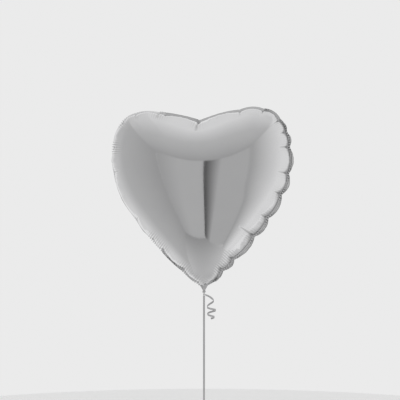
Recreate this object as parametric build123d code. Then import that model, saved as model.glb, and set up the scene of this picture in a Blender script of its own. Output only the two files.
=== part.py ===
from build123d import *
import os
from math import asin, cos, sin

# Inflated heart-shaped foil balloon on a curling ribbon.
# Millimetres. The origin is the middle of the tied neck, +Z is up, the front faces -Y.

# ---------------------------------------------------------------- driving dimensions
LEAN = 1.5              # degrees the floating heart leans to its -X side above the tie

# seam line of the inflated heart, right-hand half, measured from the seam's bottom tip
TIP = (0, 0)
LOWER_SIDE = [(96, 74), (162, 142)]
WIDEST = (221, 308)
SHOULDER = (208, 388)
LOBE_TOP = (133, 433)
CLEFT = (0, 407)
SEAM_TIP_Z = 12         # height of the seam's bottom tip above the tie

FILM = 0.5              # foil film, thicker than the real 0.04
MARGIN = 7.0            # heat-sealed flange outside the seam line
CROWN = 120             # how far each panel bulges from the seam plane
CROWN_CENTRE_Z = 262    # height of the fullest point above the seam's tip
CROWN_LEVELS = [1.0, 0.985, 0.94, 0.86, 0.74, 0.58, 0.40, 0.22, 0.07]
CROWN_ROUND = 0.62      # exponent of the crown's profile, 0.5 is an ellipse

NECK_R = 2.4            # film gathered in the tie
NECK_FOOT = -3.4        # lower end of the trimmed filling tail
NECK_FLARE_R = 7.0      # the gathers where they meet the heart
NECK_FLARE_Z = 17.0

VALVE_FILM = 0.3        # each of the two clear films of the self-sealing valve
VALVE_WIDTH = 24
VALVE_TOP = 92          # how far up inside the balloon the valve reaches
VALVE_NECK_WIDTH = 2.4  # where it is gathered in the neck

RIBBON_WIDTH = 5.0
TIE_GAP = 0.3           # clearance of the ribbon turns that let the balloon spin
TIE_TURN = 0.45         # thickness of one turn of ribbon round the neck
TIE_TURNS = 3
TIE_HEIGHT = 4.6
KNOT_Z = -6.4
KNOT_R = 2.7
KNOT_CLEAR = 0.35       # between the knot and the ribbons that swing on it

HAND_KNOT_Z = -284
HAND_KNOT_R = 4.2
LOOP_LENGTH = 62        # hand loop, from its knot to its lowest point
LOOP_R = 17             # radius of its round end
LOOP_STRIP = 0.8        # thickness of the loop's strip

CURL_R = 12.0           # outer radius of the curled end
CURL_X = 19.0
CURL_TOP = -14.0
CURL_FOOT = -77.0
CURL_LEAD_R = 1.2

os.makedirs("parts", exist_ok=True)


def save(node, shape):
    shape.label = node
    export_step(shape, f"parts/{node}.step")
    print(f"{node:20s} {shape.volume / 1000:9.3f} cm3  {len(shape.solids())} solid(s)")


# ---------------------------------------------------------------- balloon
def heart(factor=1.0, depth=0.0):
    """The seam line as a closed wire, shrunk towards the fullest point and set forward."""
    def place(point):
        x, z = point
        return Vector(factor * x, -depth, SEAM_TIP_Z + CROWN_CENTRE_Z + factor * (z - CROWN_CENTRE_Z))

    out_of_tip, upright, into_cleft = Vector(0.80, 0, 0.60), Vector(0, 0, 1), Vector(-0.90, 0, -0.43)
    lower = [place(point) for point in (TIP, *LOWER_SIDE, WIDEST)]
    upper = [place(point) for point in (WIDEST, SHOULDER, LOBE_TOP, CLEFT)]
    right = [Edge.make_spline(lower, tangents=[out_of_tip, upright]),
             Edge.make_spline(upper, tangents=[upright, into_cleft])]
    return Wire(right + [edge.mirror(Plane.YZ) for edge in right])


def crown(inset):
    """The space under one panel, as heart contours that shrink towards its fullest point."""
    shrink = 1 - inset / WIDEST[0]
    bulge = CROWN - inset
    return Solid.make_loft([heart(level * shrink, bulge * (1 - level**2) ** CROWN_ROUND)
                            for level in CROWN_LEVELS])


def seam_plate():
    """The heart out to the edge of its heat-sealed margin, one film thick."""
    return extrude(Face(heart(1 + MARGIN / WIDEST[0])), FILM, dir=(0, -1, 0))


def neck_half():
    """One panel's gathered filling tail: a half round that flares into the heart's tip."""
    waist = Plane.XY.offset(TIE_HEIGHT)
    straight = Pos(0, 0, NECK_FOOT) * Cylinder(NECK_R, TIE_HEIGHT - NECK_FOOT,
                                               align=(Align.CENTER, Align.CENTER, Align.MIN))
    flare = loft([waist * Circle(NECK_R),
                  Plane.XY.offset(NECK_FLARE_Z) * Ellipse(NECK_FLARE_R, NECK_R)])
    front = Pos(0, -NECK_FLARE_R, 0) * Box(4 * NECK_FLARE_R, 2 * NECK_FLARE_R, 200)
    return (straight + flare) & front


def front_film(valve):
    """The crown, its flat margin and its half of the neck, hollowed to the film's thickness."""
    return crown(0) + seam_plate() + neck_half() - crown(FILM) - valve


def valve_strip():
    """The front one of the two valve films: gathered in the neck, flat and full width above."""
    half_neck, half = VALVE_NECK_WIDTH / 2, VALVE_WIDTH / 2
    shoulder = NECK_FLARE_Z + VALVE_WIDTH / 2
    outline = Polyline((-half_neck, NECK_FOOT), (half_neck, NECK_FOOT), (half_neck, TIE_HEIGHT),
                       (half, shoulder), (half, VALVE_TOP), (-half, VALVE_TOP),
                       (-half, shoulder), (-half_neck, TIE_HEIGHT), close=True)
    return extrude(Plane.XZ * make_face(outline), VALVE_FILM)


def balloon():
    front_valve = valve_strip()
    front = front_film(front_valve)
    leaning = Rot(0, -LEAN, 0)
    parts = {"front_panel": front, "back_panel": mirror(front, about=Plane.XZ),
             "valve_front_film": front_valve,
             "valve_back_film": mirror(front_valve, about=Plane.XZ)}
    return {node: leaning * shape for node, shape in parts.items()}


# ---------------------------------------------------------------- ribbon
def neck_tie():
    """Turns of ribbon wound round the neck, each a little less high than the one under it."""
    turns = None
    for turn in range(TIE_TURNS):
        inner = NECK_R + TIE_GAP + turn * TIE_TURN
        height = TIE_HEIGHT - 0.8 * turn
        ring = Cylinder(inner + TIE_TURN, height) - Cylinder(inner, height)
        turns = ring if turns is None else turns + ring
    return turns


def knot(radius, z):
    """A knot pulled tight, as a ball."""
    return Pos(0, 0, z) * Sphere(radius)


def ribbon_main():
    """The taut straight run of ribbon from the neck's knot to the knot of the hand loop."""
    top = KNOT_Z - KNOT_R - KNOT_CLEAR
    run = Cylinder(RIBBON_WIDTH / 2, top - HAND_KNOT_Z,
                   align=(Align.CENTER, Align.CENTER, Align.MIN))
    return Pos(0, 0, HAND_KNOT_Z) * run - knot(HAND_KNOT_R, HAND_KNOT_Z)


def ribbon_curl():
    """The curled end as one closed form of its outer diameter, on a short slim lead."""
    body = Pos(CURL_X, 0, CURL_FOOT) * Cylinder(CURL_R, CURL_TOP - CURL_FOOT,
                                                align=(Align.CENTER, Align.CENTER, Align.MIN))
    knot_centre, curl_centre = Vector(0, 0, KNOT_Z), Vector(CURL_X, 0, CURL_TOP - 3)
    along = (curl_centre - knot_centre).normalized()
    start = knot_centre + along * (KNOT_R + KNOT_CLEAR)
    lead = Solid.make_cylinder(CURL_LEAD_R, (curl_centre - start).length,
                               Plane(start, z_dir=along))
    return body + lead


def hand_loop():
    """A loop of ribbon below its knot: straight sides that part from the knot, then round."""
    top = HAND_KNOT_Z - HAND_KNOT_R - KNOT_CLEAR
    foot = top - LOOP_LENGTH
    middle = foot + LOOP_R
    half_angle = asin(LOOP_R / (top - middle))
    side = (LOOP_R * cos(half_angle), middle + LOOP_R * sin(half_angle))
    left_side = (-side[0], side[1])
    outline = Polyline(left_side, (0, top), side) + ThreePointArc(side, (0, foot), left_side)
    ring = make_face(outline)
    strip = ring - offset(ring, -LOOP_STRIP)
    return extrude(Plane.XZ * strip, RIBBON_WIDTH / 2, both=True)


if __name__ == "__main__":
    for name, solid in balloon().items():
        save(name, solid)
    save("neck_tie", neck_tie())
    save("neck_knot", knot(KNOT_R, KNOT_Z))
    save("ribbon_main", ribbon_main())
    save("ribbon_curl", ribbon_curl())
    save("hand_knot", knot(HAND_KNOT_R, HAND_KNOT_Z))
    save("hand_loop", hand_loop())
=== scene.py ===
import math

import bpy
import numpy as np
from mathutils import Matrix, Vector
from mathutils.geometry import delaunay_2d_cdt
from mathutils.kdtree import KDTree


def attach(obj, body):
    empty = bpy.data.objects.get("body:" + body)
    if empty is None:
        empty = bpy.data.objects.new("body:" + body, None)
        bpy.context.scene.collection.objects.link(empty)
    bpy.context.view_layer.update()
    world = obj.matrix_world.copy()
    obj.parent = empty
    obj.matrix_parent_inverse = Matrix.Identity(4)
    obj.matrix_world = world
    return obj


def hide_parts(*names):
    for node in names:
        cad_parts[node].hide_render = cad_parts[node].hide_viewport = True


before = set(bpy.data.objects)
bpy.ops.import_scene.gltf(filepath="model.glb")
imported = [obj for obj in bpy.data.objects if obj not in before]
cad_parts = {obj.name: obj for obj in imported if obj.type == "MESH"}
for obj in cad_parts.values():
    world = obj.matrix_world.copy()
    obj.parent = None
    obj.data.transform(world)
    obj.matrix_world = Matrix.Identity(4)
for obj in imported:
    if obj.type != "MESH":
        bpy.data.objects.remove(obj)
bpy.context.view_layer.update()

MM = 0.001

# ---------------------------------------------------------------- sizes, in metres
LEAN = math.radians(1.5)        # the floating heart leans to its -X side
SEAM_TIP_Z = 9 * MM             # the seam's bottom tip above the tie
MARGIN = 6 * MM                 # heat-sealed flange outside the seam
NECK_R = 2.4 * MM               # the filling tail where the ribbon gathers it
NECK_FOOT = -3.4 * MM
NECK_TOP = 20 * MM
RIBBON_WIDTH = 5 * MM
RIBBON_THICK = 0.25 * MM
KNOT = Vector((0, 0, -6.4 * MM))
KNOT_R = 2.7 * MM
HAND_KNOT = Vector((0, 0, -284 * MM))
HAND_KNOT_R = 4.2 * MM
KNOT_GAP = 0.35 * MM            # between a knot and the strip that starts under it
LOOP_LENGTH = 62 * MM
LOOP_R = 17 * MM


# ---------------------------------------------------------------- camera
def make_camera():
    """Level, a little to the balloon's right, through a long lens; the frame is 1 m wide there."""
    yaw = math.radians(6)
    distance = 3.6
    frame_width = 1.0
    sensor = 36
    aside, height = -10 * MM, 229 * MM
    across = Vector((math.cos(yaw), math.sin(yaw), 0))
    towards = Vector((math.sin(yaw), -math.cos(yaw), 0))
    middle = across * aside + Vector((0, 0, height))
    data = bpy.data.cameras.new("camera")
    data.sensor_width = sensor
    data.lens = sensor * distance / frame_width
    camera = bpy.data.objects.new("camera", data)
    camera.location = middle + towards * distance
    camera.rotation_euler = (-towards).to_track_quat("-Z", "Y").to_euler()
    bpy.context.scene.collection.objects.link(camera)
    bpy.context.scene.camera = camera


# ---------------------------------------------------------------- mesh helpers
def add_mesh(name, points, faces, material, smooth=True):
    mesh = bpy.data.meshes.new(name)
    mesh.from_pydata([tuple(float(c) for c in p) for p in points], [], faces)
    mesh.update()
    for polygon in mesh.polygons:
        polygon.use_smooth = smooth
    mesh.materials.append(material)
    piece = bpy.data.objects.new(name, mesh)
    bpy.context.scene.collection.objects.link(piece)
    return piece


def spline_points(controls, resolution):
    """Points along the NURBS spline whose control points these are."""
    curve = bpy.data.curves.new("route", "CURVE")
    curve.dimensions = "3D"
    curve.resolution_u = resolution
    spline = curve.splines.new("NURBS")
    spline.points.add(len(controls) - 1)
    for point, place in zip(spline.points, controls):
        point.co = (*place, 1)
    spline.order_u = 3
    spline.use_endpoint_u = True
    route = bpy.data.objects.new("route", curve)
    bpy.context.scene.collection.objects.link(route)
    bpy.context.view_layer.update()
    mesh = bpy.data.meshes.new_from_object(route.evaluated_get(bpy.context.evaluated_depsgraph_get()))
    points = np.array([vertex.co[:] for vertex in mesh.vertices])
    bpy.data.objects.remove(route)
    bpy.data.meshes.remove(mesh)
    bpy.data.curves.remove(curve)
    return points


def unit(vectors):
    return vectors / np.maximum(np.linalg.norm(vectors, axis=-1, keepdims=True), 1e-12)


def tangents(points, closed=False):
    if closed:
        return unit(np.roll(points, -1, 0) - np.roll(points, 1, 0))
    return unit(np.gradient(points, axis=0))


def ribbon(name, points, across, width, material, closed=False):
    """A flat strip along a path, with the fine lengthwise ribs of curling ribbon on both faces."""
    ribs = 9
    rib_height = 0.05 * MM
    rounded = 0.08
    along = tangents(points, closed)
    across = unit(across - (across * along).sum(1, keepdims=True) * along)
    face = np.cross(along, across)
    steps = np.linspace(-1, 1, 4 * ribs + 1)
    ridge = rib_height * np.cos(np.pi * ribs * (steps + 1))
    ends = np.clip((1 - np.abs(steps)) / rounded, 0, 1) ** 0.5
    top = [(s * width / 2, (RIBBON_THICK / 2) * e + r) for s, e, r in zip(steps, ends, ridge)]
    bottom = [(s, -h) for s, h in reversed(top)]
    section = top + bottom
    rows = [points + s * across + h * face for s, h in section]
    grid = np.stack(rows, 1)
    count, around = grid.shape[0], grid.shape[1]
    faces = []
    for i in range(count if closed else count - 1):
        j = (i + 1) % count
        for k in range(around):
            m = (k + 1) % around
            faces.append((i * around + k, i * around + m, j * around + m, j * around + k))
    if not closed:
        faces.append(tuple(range(around - 1, -1, -1)))
        faces.append(tuple((count - 1) * around + k for k in range(around)))
    return add_mesh(name, grid.reshape(-1, 3), faces, material)


# ---------------------------------------------------------------- materials
def new_material(name):
    material = bpy.data.materials.new(name)
    material.use_nodes = True
    return material, material.node_tree, material.node_tree.nodes["Principled BSDF"]


def noise_node(tree, scale, detail=3.0):
    coords = tree.nodes.new("ShaderNodeTexCoord")
    noise = tree.nodes.new("ShaderNodeTexNoise")
    noise.inputs["Scale"].default_value = scale
    noise.inputs["Detail"].default_value = detail
    tree.links.new(coords.outputs["Object"], noise.inputs["Vector"])
    return noise


def mapped(tree, source, low, high):
    node = tree.nodes.new("ShaderNodeMapRange")
    node.inputs["To Min"].default_value = low
    node.inputs["To Max"].default_value = high
    tree.links.new(source, node.inputs["Value"])
    return node.outputs["Result"]


def foil_material(name, film=False):
    """Metallised film: bright, nearly mirror smooth, with a faint cloudy variation."""
    material, tree, shader = new_material(name)
    shader.inputs["Metallic"].default_value = 1.0
    clouds = noise_node(tree, 22)
    tree.links.new(mapped(tree, clouds.outputs["Fac"], 0.06, 0.11), shader.inputs["Roughness"])
    tint = tree.nodes.new("ShaderNodeValToRGB")
    tint.color_ramp.elements[0].color = (0.83, 0.83, 0.84, 1)
    tint.color_ramp.elements[1].color = (0.88, 0.88, 0.885, 1)
    tree.links.new(clouds.outputs["Fac"], tint.inputs["Fac"])
    tree.links.new(tint.outputs["Color"], shader.inputs["Base Color"])
    grain = noise_node(tree, 900, 2)
    bump = tree.nodes.new("ShaderNodeBump")
    bump.inputs["Strength"].default_value = 0.02
    bump.inputs["Distance"].default_value = 0.2 * MM
    tree.links.new(grain.outputs["Fac"], bump.inputs["Height"])
    # the film gets creases and painted shade; the flange is darker towards its cut edge
    if film:
        tree.links.new(creases_and_painted_shade(tree, shader), bump.inputs["Normal"])
    else:
        darken(tree, shader, cut_edge(tree), 0.3)
    tree.links.new(bump.outputs["Normal"], shader.inputs["Normal"])
    return material


def math_node(tree, kind, first, second=None):
    node = tree.nodes.new("ShaderNodeMath")
    node.operation = kind
    for socket, value in zip(node.inputs, (first, second)):
        if isinstance(value, float):
            socket.default_value = value
        elif value is not None:
            tree.links.new(value, socket)
    return node.outputs[0]


def attribute(tree, name):
    node = tree.nodes.new("ShaderNodeAttribute")
    node.attribute_name = name
    return node.outputs["Fac"]


def height_bump(tree, height, depth):
    bump = tree.nodes.new("ShaderNodeBump")
    bump.inputs["Strength"].default_value = 1.0
    bump.inputs["Distance"].default_value = depth
    tree.links.new(height, bump.inputs["Height"])
    return bump


def cut_edge(tree):
    """0 over most of the flange's width, rising to 1 at its cut edge."""
    start, steepness = 0.84, 6.0
    beyond = math_node(tree, "SUBTRACT", attribute(tree, "across"), start)
    edge = math_node(tree, "MULTIPLY", beyond, steepness)
    edge.node.use_clamp = True
    return edge


def creases_and_painted_shade(tree, shader):
    """Sharp creases run in from the pinches; painted shade in them, between the pleats and by the seam."""
    narrowness = -0.45
    off = attribute(tree, "crease_off")
    fold = math_node(tree, "MULTIPLY", math_node(tree, "MULTIPLY", off, off), narrowness)
    fold = math_node(tree, "MULTIPLY", math_node(tree, "EXPONENT", fold), attribute(tree, "crease"))
    creases = height_bump(tree, math_node(tree, "MULTIPLY", fold, -1.0), 0.9 * MM)
    # painted shade in the creases
    darken(tree, shader, fold, 0.35)
    # painted shade in the pleats' valleys
    darken(tree, shader, attribute(tree, "painted_pleat_shade"), 0.30)
    # painted dimming, a darker reflection beside the seam on the back film, mottled by noise
    mottled_dimming = mapped(tree, noise_node(tree, 160).outputs["Fac"], 0.4, 1.5)
    darken(tree, shader, math_node(tree, "MULTIPLY", mottled_dimming, attribute(tree, "painted_dimming")), 0.30)
    return creases.outputs["Normal"]


def darken(tree, shader, amount, least):
    """Mix the base colour towards grey: painted shade on the film, and a darker cut edge on the flange."""
    mix = tree.nodes.new("ShaderNodeMix")
    mix.data_type = "RGBA"
    source = shader.inputs["Base Color"].links[0].from_socket
    tree.links.new(amount, mix.inputs["Factor"])
    tree.links.new(source, mix.inputs[6])
    mix.inputs[7].default_value = (least, least, least, 1)
    tree.links.new(mix.outputs[2], shader.inputs["Base Color"])


def ribbon_material():
    """Grey polypropylene curling ribbon, satin, with a faint fine mottle; its ribs are in the strip's
    shape.
    """
    material, tree, shader = new_material("curling_ribbon")
    fine = noise_node(tree, 500)
    tint = tree.nodes.new("ShaderNodeValToRGB")
    tint.color_ramp.elements[0].color = (0.40, 0.40, 0.405, 1)
    tint.color_ramp.elements[1].color = (0.50, 0.50, 0.505, 1)
    tree.links.new(fine.outputs["Fac"], tint.inputs["Fac"])
    tree.links.new(tint.outputs["Color"], shader.inputs["Base Color"])
    tree.links.new(mapped(tree, fine.outputs["Fac"], 0.28, 0.4), shader.inputs["Roughness"])
    return material


def valve_material():
    """Clear polythene film, slightly milky."""
    material, tree, shader = new_material("valve_film")
    milk = noise_node(tree, 120)
    tree.links.new(mapped(tree, milk.outputs["Fac"], 0.15, 0.3), shader.inputs["Roughness"])
    tint = tree.nodes.new("ShaderNodeValToRGB")
    tint.color_ramp.elements[0].color = (0.80, 0.83, 0.86, 1)
    tint.color_ramp.elements[1].color = (0.90, 0.92, 0.94, 1)
    tree.links.new(milk.outputs["Fac"], tint.inputs["Fac"])
    tree.links.new(tint.outputs["Color"], shader.inputs["Base Color"])
    shader.inputs["Alpha"].default_value = 0.5
    return material


def glow_material(name, low, high, along, start, end):
    """A light panel whose brightness runs evenly from low to high along one direction."""
    material = bpy.data.materials.new(name)
    material.use_nodes = True
    tree = material.node_tree
    tree.nodes.clear()
    place = tree.nodes.new("ShaderNodeNewGeometry")
    reach = tree.nodes.new("ShaderNodeVectorMath")
    reach.operation = "DOT_PRODUCT"
    reach.inputs[1].default_value = along
    tree.links.new(place.outputs["Position"], reach.inputs[0])
    ramp = tree.nodes.new("ShaderNodeMapRange")
    ramp.inputs["From Min"].default_value = start
    ramp.inputs["From Max"].default_value = end
    ramp.inputs["To Min"].default_value = low
    ramp.inputs["To Max"].default_value = high
    tree.links.new(reach.outputs["Value"], ramp.inputs["Value"])
    glow = tree.nodes.new("ShaderNodeEmission")
    tree.links.new(ramp.outputs["Result"], glow.inputs["Strength"])
    output = tree.nodes.new("ShaderNodeOutputMaterial")
    tree.links.new(glow.outputs["Emission"], output.inputs["Surface"])
    return material


# ---------------------------------------------------------------- ribbon pieces
def main_ribbon(material):
    """The taut run: dead straight, with a slow twist."""
    twist_start, twist_end = -12, 30
    top = KNOT.z - KNOT_R - KNOT_GAP
    foot = HAND_KNOT.z + HAND_KNOT_R
    points = spline_points([(0, 0, top), (0, 0, (top + foot) / 2), (0, 0, foot)], 60)
    turn = np.radians(np.linspace(twist_start, twist_end, len(points)))
    across = np.stack([np.cos(turn), np.sin(turn), np.zeros_like(turn)], 1)
    return ribbon("ribbon_strip", points, across, RIBBON_WIDTH, material), points


# The curled end, seen from the front, in mm: where each half turn reaches, right and left in turn.
CURL_SIDES = [(24.8, -21.3), (7.5, -38.5), (30.0, -45.8), (8.0, -55.6), (26.5, -63.3), (10.0, -72.0)]
CURL_AXIS = 18.0 * MM           # how far to the right of the neck the coil hangs


def curl_route():
    """Out of the knot to the right, then the half turns one after another; the last is cut short."""
    controls = [KNOT + Vector((3.0, -0.6, -1.2)) * MM, Vector((6.5, -3.0, -9.0)) * MM,
                Vector((11.5, -6.5, -10.5)) * MM, Vector((17.5, -8.8, -13.5)) * MM]
    steps, last_steps = 7, 5
    turns = len(CURL_SIDES) - 1
    for k, ((x0, z0), (x1, z1)) in enumerate(zip(CURL_SIDES, CURL_SIDES[1:])):
        side = (-1) ** k
        radius = abs(x1 - x0) / 2
        for i in range(last_steps if k == turns - 1 else steps):
            part = i / steps
            x = (x0 + x1) / 2 + (x0 - x1) / 2 * math.cos(math.pi * part)
            y = side * radius * math.sin(math.pi * part)
            controls.append(Vector((x, y, z0 + (z1 - z0) * part)) * MM)
    return controls


def curled_end(material):
    points = spline_points(curl_route(), 8)
    along = tangents(points)
    outward = points - (CURL_AXIS, 0, 0)
    outward[:, 2] = 0
    across = np.cross(along, unit(outward))
    piece = ribbon("ribbon_curled_end", points, across, 4.6 * MM, material)
    return piece, points


def knot_piece(name, centre, radius, width, material):
    """A tight knot: one strip along a trefoil, pulled into a ball."""
    steps = 120
    plump = 1.6
    reach = radius - width / 2 * 0.75
    t = np.linspace(0, 2 * math.pi, steps + 1)[:-1]
    shape = np.stack([np.sin(t) + 2 * np.sin(2 * t), -np.sin(3 * t) * plump,
                      np.cos(t) - 2 * np.cos(2 * t)], 1)
    shape *= reach / np.linalg.norm(shape, axis=1).max()
    points = shape + np.array(centre)
    across = np.cross(tangents(points, closed=True), unit(shape))
    return ribbon(name, points, across, width, material, closed=True)


def tie_piece(material):
    """Three turns of ribbon wound round the neck, each lying on the one before at a new slant."""
    turns = 3
    clearance, step_out = 0.45 * MM, 0.42 * MM
    slant, slant_shift = 0.45 * MM, 0.6
    t = np.linspace(0, 2 * math.pi * turns, 60 * turns)
    radius = NECK_R + clearance + step_out * t / (2 * math.pi)
    rise = slant * np.sin(t + slant_shift * t / (2 * math.pi))
    points = np.stack([radius * np.cos(t), radius * np.sin(t), rise], 1)
    across = np.zeros_like(points)
    across[:, 2] = 1
    return ribbon("neck_tie_turns", points, across, 3.6 * MM, material)


def loop_piece(material):
    """The hand loop: straight sides that part from the knot and meet in a round end."""
    top = HAND_KNOT.z - HAND_KNOT_R - KNOT_GAP
    foot = top - LOOP_LENGTH
    middle = foot + LOOP_R
    half = math.asin(LOOP_R / (top - middle))
    inset = 0.6 * MM
    peak_drop = 3 * MM
    round_steps, side_steps = 40, 12
    turn = np.linspace(math.pi - half, 2 * math.pi + half, round_steps)
    radius = LOOP_R - inset
    low = np.stack([radius * np.cos(turn), 0 * turn, middle + radius * np.sin(turn)], 1)
    peak = np.array([0, 0, top - peak_drop])
    part = np.linspace(0, 1, side_steps)[:-1, None]
    down = peak + (low[0] - peak) * part
    up = low[-1] + (peak - low[-1]) * (1 - part[::-1])
    points = np.vstack([down, low, up])
    across = np.zeros_like(points)
    across[:, 1] = 1
    return ribbon("ribbon_hand_loop", points, across, RIBBON_WIDTH - 0.2 * MM, material)


def make_ribbons():
    material = ribbon_material()
    strip, strip_path = main_ribbon(material)
    curl, curl_path = curled_end(material)
    tie = tie_piece(material)
    neck_knot = knot_piece("neck_knot_ribbon", KNOT, KNOT_R, 2.0 * MM, material)
    hand_knot = knot_piece("hand_knot_ribbon", HAND_KNOT, HAND_KNOT_R, 3.0 * MM, material)
    loop = loop_piece(material)
    for piece, body, node in ((strip, "ribbon", "ribbon_main"), (curl, "curl", "ribbon_curl"),
                              (tie, "tie", "neck_tie"), (neck_knot, "knot", "neck_knot"),
                              (hand_knot, "ribbon", "hand_knot"), (loop, "loop", "hand_loop")):
        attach(piece, body)
        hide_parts(node)


# ---------------------------------------------------------------- heart film
# The inflated seam, right-hand half, in mm, as cubic curves from its tip over the lobe to the cleft.
SEAM = [((0, 0), (110, 98), (216, 208), (221, 311)),
        ((221, 311), (224, 391), (200, 443), (137, 443)),
        ((137, 443), (98, 443), (60, 431), (0, 416))]
CROWN = 118 * MM                # how far each panel bulges from the seam plane
CROWN_ROUND = 0.62              # exponent of its profile: 0.5 is an ellipse

# Where the seam has drawn together, from the tip up the right side and down the left, in mm:
# x, z, how far its crease runs into the film, how strongly the film is combed into fine pleats
# there, and by how many degrees the flange leans back from there to the next one, or forwards
# where that is below 0.
PINCHES = [(3, 14, 4, 1.0, 6), (49, 52, 12, 1.0, -1), (76, 79, 12, 0.6, -1), (129, 136, 40, 0.5, -2),
           (165, 180, 16, 0.3, -3), (189, 245, 16, 0.3, -3), (209, 295, 24, 0.2, -3),
           (212, 361, 22, 0.2, -3), (208, 399, 12, 0.2, -2), (188, 426, 16, 0.3, 8),
           (149, 455, 12, 0.2, 25), (90, 452, 14, 0.1, 25), (-12, 432, 28, 0.3, 2),
           (-95, 450, 8, 0.2, 30), (-113, 452, 14, 0.3, 48), (-172, 445, 12, 0.4, 52),
           (-208, 425, 14, 0.9, 55), (-228, 361, 18, 1.0, 58), (-216, 300, 20, 0.3, 58),
           (-172, 180, 12, 0.3, 55), (-127, 131, 16, 1.0, 52), (-98, 110, 14, 0.9, -8),
           (-49, 59, 14, 1.0, 25), (-12, 24, 6, 1.0, 30)]

# How the film gathers beside the seam, and how far from it each of these shapes reaches.
FRONT_BULGE = (0.5 * MM, 0.5 * MM)      # how far it swells past the seam, on the left and the right
BACK_BULGE = (9 * MM, 15 * MM)
BULGE_REACH = 26 * MM
SCALLOP_REACH = 20 * MM
PUFF_REACH = 13 * MM
PLEAT = 5.8 * MM                        # from one fine pleat to the next
PLEAT_HEIGHT = 0.55 * MM
PLEAT_REACH = 17 * MM
CREASE_WIDTH = 9 * MM                   # how far along the seam a crease is felt, on each side
GROOVE_DEPTH = 0.9 * MM                 # of the soft groove round a crease 20 mm long
GROOVE_WIDTH = 3.5 * MM
# how far the painted dimming beside the seam reaches
PAINTED_DIMMING_REACH = 14 * MM


def seam_outline(step):
    """Evenly spaced points of the seam, from its tip up the right and down the left."""
    samples = 400
    t = np.linspace(0, 1, samples)[:, None]
    curves = [(1 - t)**3 * a + 3 * (1 - t)**2 * t * b + 3 * (1 - t) * t**2 * c + t**3 * d
              for a, b, c, d in np.array(SEAM, float)]
    line = np.vstack([curve[:-1] for curve in curves] + [curves[-1][-1:]])
    line = line * MM + (0, SEAM_TIP_Z)
    at = np.r_[0, np.cumsum(np.linalg.norm(np.diff(line, axis=0), axis=1))]
    even = np.linspace(0, at[-1], int(round(at[-1] / step)) + 1)
    right = np.stack([np.interp(even, at, line[:, k]) for k in (0, 1)], 1)
    return np.vstack([right, (right[::-1] * (-1, 1))[1:-1]])


def depth_inside(points, outline):
    """Distance from each point to the outline, negative outside it."""
    nearest = np.full(len(points), 1e9)
    inside = np.zeros(len(points), bool)
    for a, b in zip(outline, np.roll(outline, -1, 0)):
        edge = b - a
        t = np.clip(((points - a) @ edge) / (edge @ edge), 0, 1)
        nearest = np.minimum(nearest, np.linalg.norm(points - a - t[:, None] * edge, axis=1))
        spans = (a[1] > points[:, 1]) != (b[1] > points[:, 1])
        rise = edge[1] if abs(edge[1]) > 1e-12 else 1e-12
        inside ^= spans & (points[:, 0] < a[0] + (points[:, 1] - a[1]) * edge[0] / rise)
    return np.where(inside, nearest, -nearest)


def heart_net(step):
    """Triangles over the heart: the seam's points first and in order, then an even grid inside."""
    outline = seam_outline(step)
    spacing = 1.15 * step
    clear_of_seam = 0.7 * step
    reach = outline[:, 0].max() + step
    rows = np.arange(0, outline[:, 1].max(), spacing * math.sqrt(3) / 2)
    columns = np.arange(-reach, reach, spacing)
    grid = np.vstack([np.stack([columns + spacing / 2 * (k % 2), np.full(len(columns), z)], 1)
                      for k, z in enumerate(rows)])
    grid = grid[depth_inside(grid, outline) > clear_of_seam]
    count = len(outline)
    edges = [(i, (i + 1) % count) for i in range(count)]
    result = delaunay_2d_cdt([Vector(p) for p in np.vstack([outline, grid])], edges, [], 1, 1e-7)
    points = np.array([v[:] for v in result[0]])
    triangles = np.array([f[:] for f in result[2]])
    a, b, c = (points[triangles[:, k]] for k in range(3))
    turned = np.cross(b - a, c - a) < 0
    triangles[turned] = triangles[turned][:, ::-1]
    return points, triangles, count


def pressure_dome(points, triangles, fixed):
    """Height of an evenly loaded membrane held at its first points, as a share of its greatest.

    Its balance of forces is solved with conjugate gradients.
    """
    most_rounds, small_enough = 600, 1e-20
    size = len(points)
    first, second, weight = [], [], []
    load = np.zeros(size)
    for k in range(3):
        a, b, c = (points[triangles[:, (k + i) % 3]] for i in range(3))
        ab, ac = b - a, c - a
        double = np.abs(ab[:, 0] * ac[:, 1] - ab[:, 1] * ac[:, 0])
        first.append(triangles[:, (k + 1) % 3])
        second.append(triangles[:, (k + 2) % 3])
        weight.append((ab * ac).sum(1) / double / 2)
        load += np.bincount(triangles[:, k], double / 6, size)
    first, second, weight = map(np.concatenate, (first, second, weight))
    free = np.arange(size) >= fixed

    def pull(height):
        force = weight * (height[first] - height[second])
        return (np.bincount(first, force, size) - np.bincount(second, force, size)) * free

    height = np.zeros(size)
    residual = load * free
    search, left = residual.copy(), residual @ residual
    for _ in range(most_rounds):
        force = pull(search)
        step = left / (search @ force)
        height += step * search
        residual -= step * force
        now = residual @ residual
        search = residual + now / left * search
        left = now
        if left < small_enough:
            break
    return np.clip(height / height.max(), 0, None)


def ease(x):
    """From 0 to 1 with a soft start and a soft end."""
    x = np.clip(x, 0, 1)
    return x * x * (3 - 2 * x)


def falloff(distance, reach):
    """1 at no distance, fading away past the reach."""
    return np.exp(-(distance / reach)**2)


def hump(distance, reach):
    """0 at no distance, 1 at the reach, fading away past it."""
    share = distance / reach
    return share * np.exp((1 - share**2) / 2)


def panel(name, points, faces, material, levels):
    """One film as a smooth subdivided surface, with the finer mesh as its own."""
    piece = add_mesh(name, points, faces, material)
    finer = piece.modifiers.new("finer", "SUBSURF")
    finer.levels = finer.render_levels = levels
    mesh = bpy.data.meshes.new_from_object(piece.evaluated_get(bpy.context.evaluated_depsgraph_get()))
    piece.modifiers.clear()
    piece.data = mesh
    return piece


def blur(values, rounds):
    """Even out values that run once round a closed curve."""
    for _ in range(rounds):
        values = (np.roll(values, 1, 0) + 2 * values + np.roll(values, -1, 0)) / 4
    return values


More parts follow.
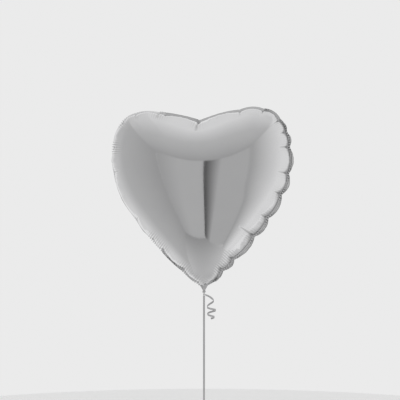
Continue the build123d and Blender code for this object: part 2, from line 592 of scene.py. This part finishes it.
def smooth_ring(ring):
    """The closed cubic B-spline of a ring of points, which is where the subdivided films end."""
    finer = 6
    t = np.arange(finer)[None, :, None] / finer
    p0, p1, p2, p3 = (np.roll(ring, k, 0)[:, None, :] for k in (1, 0, -1, -2))
    return (((1 - t)**3 * p0 + (3 * t**3 - 6 * t**2 + 4) * p1
             + (-3 * t**3 + 3 * t**2 + 3 * t + 1) * p2 + t**3 * p3) / 6).reshape(-1, 3)


class Seam:
    """The seam as a fine closed curve, with how the film gathers along it."""

    def __init__(self, ring):
        step = 0.8 * MM
        tip_reach = 35 * MM
        curve = smooth_ring(ring)
        closed = np.vstack([curve, curve[:1]])
        at = np.r_[0, np.cumsum(np.linalg.norm(np.diff(closed, axis=0), axis=1))]
        self.length = at[-1]
        self.at = np.linspace(0, self.length, int(self.length / step), endpoint=False)
        self.points = np.stack([np.interp(self.at, at, closed[:, k]) for k in range(3)], 1)
        self.along = tangents(self.points, closed=True)
        outward = np.stack([self.along[:, 2], 0 * self.at, -self.along[:, 0]], 1)
        self.outward = unit(blur(outward, rounds=60))
        self.pleat = self.length / round(self.length / PLEAT)
        self.tip = ease(np.minimum(self.at, self.length - self.at) / tip_reach)
        self.tree = KDTree(len(self.at))
        for i, p in enumerate(self.points):
            self.tree.insert(p, i)
        self.tree.balance()
        self.places = []
        for x, z, *_ in PINCHES:
            gap = self.points - (x * MM, 0, z * MM)
            self.places.append(self.at[np.argmin(np.hypot(gap[:, 0], gap[:, 2]))])
        self.draw_in()

    def draw_in(self):
        """What the pinches do all along the seam: its scallops, the flange's lean and the pleats."""
        bow_share, bow_most, bow_middle = 0.06, 3.6 * MM, 0.62
        puff_share, puff_most = 0.05, 3.0 * MM
        weaker_left, half_width = 0.3, 60 * MM
        starts = np.array(self.places)
        ends = np.r_[starts[1:], starts[0] + self.length]
        part = np.searchsorted(starts, self.at, side="right") - 1
        start, end = starts[part], ends[part]
        where = np.where(part < 0, self.at + self.length, self.at)
        share = np.clip((where - start) / (end - start), 0, 1)
        span = end - start
        self.arch = np.sin(math.pi * share) ** 0.8
        side = 1 - weaker_left + weaker_left * np.clip(self.points[:, 0] / half_width, -1, 1)
        self.bow = np.minimum(bow_share * span, bow_most) * (self.arch - bow_middle) * side
        self.puff = np.minimum(puff_share * span, puff_most) * self.arch
        self.lean = blur(np.array([lean for *_, lean in PINCHES], float)[part], rounds=12)
        self.comb = np.zeros(len(self.at))
        for place, (_, _, _, comb, _) in zip(self.places, PINCHES):
            self.comb += comb * falloff(self.away(self.at, place), PLEAT_REACH)
        self.comb = np.clip(self.comb, 0, 1)

    def away(self, at, place):
        """Distance along the seam, by the shorter way round."""
        gap = np.abs(at - place)
        return np.minimum(gap, self.length - gap)

    def nearest(self, points):
        """For each point seen square on: the seam's nearest point, how far along and how far in."""
        most = 0.5 * MM
        square = points * (1, 0, 1)
        near = np.array([self.tree.find(p)[1] for p in square])
        gap = square - self.points[near]
        slide = (gap * self.along[near]).sum(1)
        inset = np.sqrt(np.maximum((gap**2).sum(1) - slide**2, 0))
        return near, self.at[near] + np.clip(slide, -most, most), inset

    def wave(self, at):
        """The pleats' wave, which meets itself where the film's two halves join over the tip."""
        return np.cos(2 * math.pi * at / self.pleat)


def swell_past(points, bulge):
    """How far the film swells past the seam, blended from left to right and from the top down."""
    blend, top, fade = 80 * MM, 450 * MM, 60 * MM
    left, right = bulge
    to_the_right = ease(0.5 + points[:, 0] / blend)
    below_the_top = ease((top - points[:, 2]) / fade)
    return left + (right - left) * to_the_right * below_the_top


def pinch_creases(seam, at, inset, depth):
    """How far (mm) each point is off its crease, how strong that is, and how deep its groove is."""
    far_off = 50.0
    usual_length = 20
    crease_start, groove_start = 2 * MM, 3 * MM
    off_crease, strength, groove = np.full(len(at), far_off), np.zeros(len(at)), np.zeros(len(at))
    for place, (_, _, length, _, _) in zip(seam.places, PINCHES):
        off = (at - place + seam.length / 2) % seam.length - seam.length / 2
        run = np.clip(1 - inset / (length * MM), 0, 1)
        close = np.abs(off) < CREASE_WIDTH
        felt = run**0.6 * (1 - np.abs(off) / CREASE_WIDTH) * ease(inset / crease_start)
        off_crease[close] = off[close] / MM
        strength[close] = felt[close]
        deepest = GROOVE_DEPTH * (length / usual_length)**0.5
        groove += deepest * run**0.7 * ease(depth / groove_start) * falloff(off, GROOVE_WIDTH)
    return off_crease, strength, groove


def neck_folds(points, from_neck, depth):
    """The film's height in the folds that fan out from the neck."""
    height, folds, reach, start = 0.9 * MM, 13, 26 * MM, 4 * MM
    turn = np.arctan2(points[:, 0], points[:, 2])
    return height * np.cos(turn * folds) * falloff(from_neck, reach) * ease(depth / start)


def gather(piece, seam, bulge, behind):
    """Swell the film between the pinches, crease it at them, and note where shade is painted on it.

    Painted dimming, a darker reflection beside the seam, goes on the back panel only, where behind is
    true.
    """
    neck_reach, pleat_start = 45 * MM, 3 * MM
    mesh = piece.data
    count = len(mesh.vertices)
    points, normals = np.zeros(count * 3), np.zeros(count * 3)
    mesh.vertices.foreach_get("co", points)
    mesh.vertices.foreach_get("normal", normals)
    points, normals = points.reshape(-1, 3), normals.reshape(-1, 3)
    near, at, inset = seam.nearest(points)
    depth = np.hypot(inset, points[:, 1])
    from_neck = np.hypot(points[:, 0], points[:, 2])
    arch, fade = seam.arch[near], seam.tip[near]
    swell = swell_past(points, bulge) * fade * (0.6 + 0.4 * arch)
    sideways = seam.bow[near] * falloff(depth, SCALLOP_REACH) + swell * hump(depth, BULGE_REACH)
    off_crease, crease, groove = pinch_creases(seam, at, inset, depth)
    pleat = seam.comb[near] * falloff(inset, PLEAT_REACH) * ease(depth / pleat_start) * fade
    lift = seam.puff[near] * fade * hump(depth, PUFF_REACH) - groove
    lift = lift + neck_folds(points, from_neck, depth) + PLEAT_HEIGHT * seam.wave(at) * pleat
    points = points + seam.outward[near] * sideways[:, None] + normals * lift[:, None]
    mesh.vertices.foreach_set("co", points.ravel())
    # painted shade goes in the pleats' valleys, in the creases, and beside the seam on the back film
    notes = {"painted_pleat_shade": (0.5 - 0.5 * seam.wave(at)) * pleat,
             "crease_off": off_crease,
             "crease": crease * fade * ease(from_neck / neck_reach),
             # painted dimming, a darker reflection, beside the seam on the back film
             "painted_dimming": behind * falloff(inset, PAINTED_DIMMING_REACH) * (1 - 0.4 * arch)}
    for name, values in notes.items():
        layer = mesh.attributes.new(name, "FLOAT", "POINT")
        layer.data.foreach_set("value", values.astype(np.float32))
    mesh.update()


def margin_piece(seam, material):
    """The heat-sealed flange: leans back where PINCHES says, finely ruffled where it is drawn in."""
    steepest = np.radians(34)
    root_bend = 0.35
    tip_width, widening = 0.3, 0.63
    rows_across = 7
    root = seam.points + seam.outward * seam.bow[:, None]
    full_width = MARGIN * (tip_width + widening * seam.tip)
    ruffle = steepest * seam.comb**2 * seam.wave(seam.at)
    rows = []
    across = np.array([0.0, 1.0, 0.0])
    for part in np.linspace(0, 1, rows_across):
        bend = np.radians(seam.lean) * ease(root_bend + part)
        bend = bend + ruffle * part**0.5
        width = full_width * part
        rows.append(root + seam.outward * (width * np.cos(bend))[:, None]
                    + across * (width * np.sin(bend))[:, None])
    grid = np.stack(rows, 1)
    n, m = grid.shape[:2]
    faces = [(i * m + k, i * m + k + 1, ((i + 1) % n) * m + k + 1, ((i + 1) % n) * m + k)
             for i in range(n) for k in range(m - 1)]
    piece = add_mesh("seam_margin", grid.reshape(-1, 3), faces, material)
    layer = piece.data.attributes.new("across", "FLOAT", "POINT")
    layer.data.foreach_set("value", np.tile(np.linspace(0, 1, m), n).astype(np.float32))
    return piece


def neck_piece(material):
    """The gathered filling tail: pleats drawn into the tie, flaring into the heart's tip."""
    pleats, unevenness = 11, 1.3
    around, upward = 110, 30
    flare_start = 2.5 * MM
    flare, plumpness = 9 * MM, 1.4 * MM
    phi = np.linspace(0, 2 * math.pi, around, endpoint=False)
    levels = np.linspace(NECK_FOOT, NECK_TOP, upward)
    rings = []
    for z in levels:
        rise = np.clip((z - flare_start) / (NECK_TOP - flare_start), 0, 1)
        half_width = NECK_R + flare * rise**1.1
        half_depth = NECK_R + plumpness * math.sin(math.pi * rise)
        fold = 1 + (0.10 + 0.05 * rise) * np.cos(pleats * phi + unevenness * np.sin(2 * phi))
        tilt = -math.sin(LEAN) * z
        rings.append(np.stack([half_width * np.cos(phi) * fold + tilt,
                               half_depth * np.sin(phi) * fold, np.full(around, z)], 1))
    grid = np.stack(rings)
    faces = [(i * around + k, i * around + (k + 1) % around,
              (i + 1) * around + (k + 1) % around, (i + 1) * around + k)
             for i in range(len(levels) - 1) for k in range(around)]
    faces.append(tuple(range(around - 1, -1, -1)))
    return add_mesh("neck_gathers", grid.reshape(-1, 3), faces, material)


def make_balloon():
    foil, pleated = foil_material("margin_foil"), foil_material("silver_foil", film=True)
    step, levels = ((5.5 * MM, 2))
    net, triangles, seam_count = heart_net(step)
    dome = CROWN * pressure_dome(net, triangles, seam_count) ** CROWN_ROUND
    lean = np.array(Matrix.Rotation(-LEAN, 3, "Y")).T
    flat = np.stack([net[:, 0], 0 * dome, net[:, 1]], 1) @ lean
    seam = Seam(flat[:seam_count])
    for name, side, bulge, node in (("front_film", -1, FRONT_BULGE, "front_panel"),
                                    ("back_film", 1, BACK_BULGE, "back_panel")):
        points = flat + np.stack([0 * dome, side * dome, 0 * dome], 1)
        faces = [tuple(int(i) for i in f[::-side]) for f in triangles]
        piece = panel(name, points, faces, pleated, levels)
        gather(piece, seam, bulge, side > 0)
        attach(piece, "balloon")
        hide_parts(node)
    for piece in (margin_piece(seam, foil), neck_piece(foil)):
        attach(piece, "balloon")
        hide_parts("front_panel", "back_panel")


# ---------------------------------------------------------------- studio
def stage_plane(name, corners, material):
    """One flat face that belongs to the studio and not to the balloon."""
    piece = add_mesh(name, corners, [tuple(range(len(corners)))], material, smooth=False)
    return piece


ACROSS, BACKWARD = (1, 0, 0), (0, 1, 0)


def straight_back(first, second, near, far):
    """The corners of a face that runs straight back from one (x, z) place to the next."""
    (x0, z0), (x1, z1) = first, second
    return [(x0, near, z0), (x1, near, z1), (x1, far, z1), (x0, far, z0)]


def light_tent():
    """A tent of soft panels round the balloon, which shows only in the balloon's reflections.

    Each panel has a name, its corners, and its glow: the direction along which that changes, how
    bright it starts and ends, and how far along the direction it starts and ends.
    """
    front, middle, rear, back = -1.3, -0.05, 0.75, 3
    floor, top, left_roof, front_roof = -1.36, 1.3, 1.42, 1.5
    left_top, left_low, right_top, right_low, bend = -1.07, -0.92, 1.0, 1.66, -0.39
    gap_half, gap_behind = 0.4, 0.05
    sag = [(left_top, left_roof), (-0.62, 1.24), (-0.25, 1.12), (0.10, 1.06), (0.45, 1.08),
           (right_top, top)]
    right = [(right_top, top), (1.3, -0.08), (right_low, -0.68), (2.25, -2.19), (3.0, -4.4)]
    slit_top, slit_low = Vector((-0.055, front, 1.2)), Vector((0.17, front, floor))
    slit_width = Vector((0.03, 0, 0))
    right_fold = [(x, front, z) for x, z in right]
    panels = [
        ("tent_left", [(left_low, front, floor), (left_low, middle, floor), (left_top, middle, left_roof),
                       (left_top, front, left_roof)], (BACKWARD, 0.34, 0.46, front, middle)),
        ("tent_left_rear", [(left_low, middle, floor), (left_low, rear, floor),
                            (left_top, rear, left_roof), (left_top, middle, left_roof)],
         (BACKWARD, 0.46, 0.69, middle, 0.5)),
        ("tent_right_rear", [(right_low, rear, floor), (right_low, back, floor), (right_top, back, top),
                             (right_top, rear, top)], (BACKWARD, 0.72, 0.40, rear, 2)),
        ("tent_floor_rear", [(0, rear, floor), (right_low, rear, floor), (right_low, back, floor),
                             (0, back, floor)], (BACKWARD, 0.64, 0.4, rear, back)),
        ("tent_rear", [(right_low, back, floor), (0, back, floor), (0, back, top), (right_top, back, top)],
         (ACROSS, 0.30, 0.38, 0, right_low)),
        ("tent_floor", [(left_low, front, floor), (0.22, front, floor), (1.0, -0.47, floor),
                        (1.13, 0.11, floor), (1.30, rear, floor), (left_low, rear, floor)],
         (BACKWARD, 0.30, 0.64, front, 0.4)),
        ("tent_front_left", [(left_low, front, floor), slit_low, slit_top, (left_top, front, front_roof)],
         (ACROSS, 0.36, 0.44, -1.02, -0.5)),
        ("tent_front_right", [slit_low + slit_width, *right_fold[:0:-1], (right_top, front, front_roof),
                              slit_top + slit_width], ((1, 0, 0.088), 0.07, 0.42, 0.07, 0.38)),
        ("tent_gap", [(-gap_half, front - gap_behind, floor), (gap_half, front - gap_behind, floor),
                      (gap_half, front - gap_behind, top), (-gap_half, front - gap_behind, top)],
         (ACROSS, 0.06, 0.07, -gap_half, gap_half)),
    ]
    for k, (first, second, rear_glow) in enumerate(zip(sag, sag[1:], (0.62, 0.67, 0.72, 0.72, 0.72))):
        panels.append((f"tent_top_{k}", straight_back(first, second, front, bend),
                       (BACKWARD, 0.35, 0.49, front, bend)))
        panels.append((f"tent_top_rear_{k}", straight_back(first, second, bend, rear),
                       (BACKWARD, 0.49, rear_glow, bend, 0.1)))
    for k, (first, second) in enumerate(zip(right, right[1:])):
        panels.append((f"tent_right_{k}", straight_back(first, second, front, rear),
                       (BACKWARD, 0.38, 0.76, -1.15, 0.1)))
    for name, corners, (along, low, high, start, end) in panels:
        piece = stage_plane(name, corners, glow_material(name, low, high, along, start, end))
        piece.visible_camera = False
        piece.visible_diffuse = False
        piece.visible_shadow = False


def make_studio():
    light_tent()
    scene = bpy.context.scene
    scene.view_settings.view_transform = "Standard"
    world = bpy.data.worlds.new("studio")
    scene.world = world
    world.use_nodes = True
    background = world.node_tree.nodes["Background"]
    background.inputs["Color"].default_value = (0.83, 0.83, 0.83, 1)
    background.inputs["Strength"].default_value = 1.0
    floor, _, shader = new_material("pale_floor")
    shader.inputs["Base Color"].default_value = (0.9, 0.9, 0.9, 1)
    shader.inputs["Roughness"].default_value = 0.8
    radius, low, sides = 1.35, -0.42, 64
    disc = [(radius * math.cos(2 * math.pi * k / sides), radius * math.sin(2 * math.pi * k / sides), low)
            for k in range(sides)]
    ground = add_mesh("floor", disc, [tuple(range(sides))], floor, smooth=False)
    ground.visible_glossy = False


def inner_film():
    """The valve films keep their CAD shape and get the clear film's material."""
    material = valve_material()
    for node in ("valve_front_film", "valve_back_film"):
        for slot in bpy.data.objects[node].material_slots:
            slot.material = material


make_camera()
make_ribbons()
make_balloon()
inner_film()
make_studio()
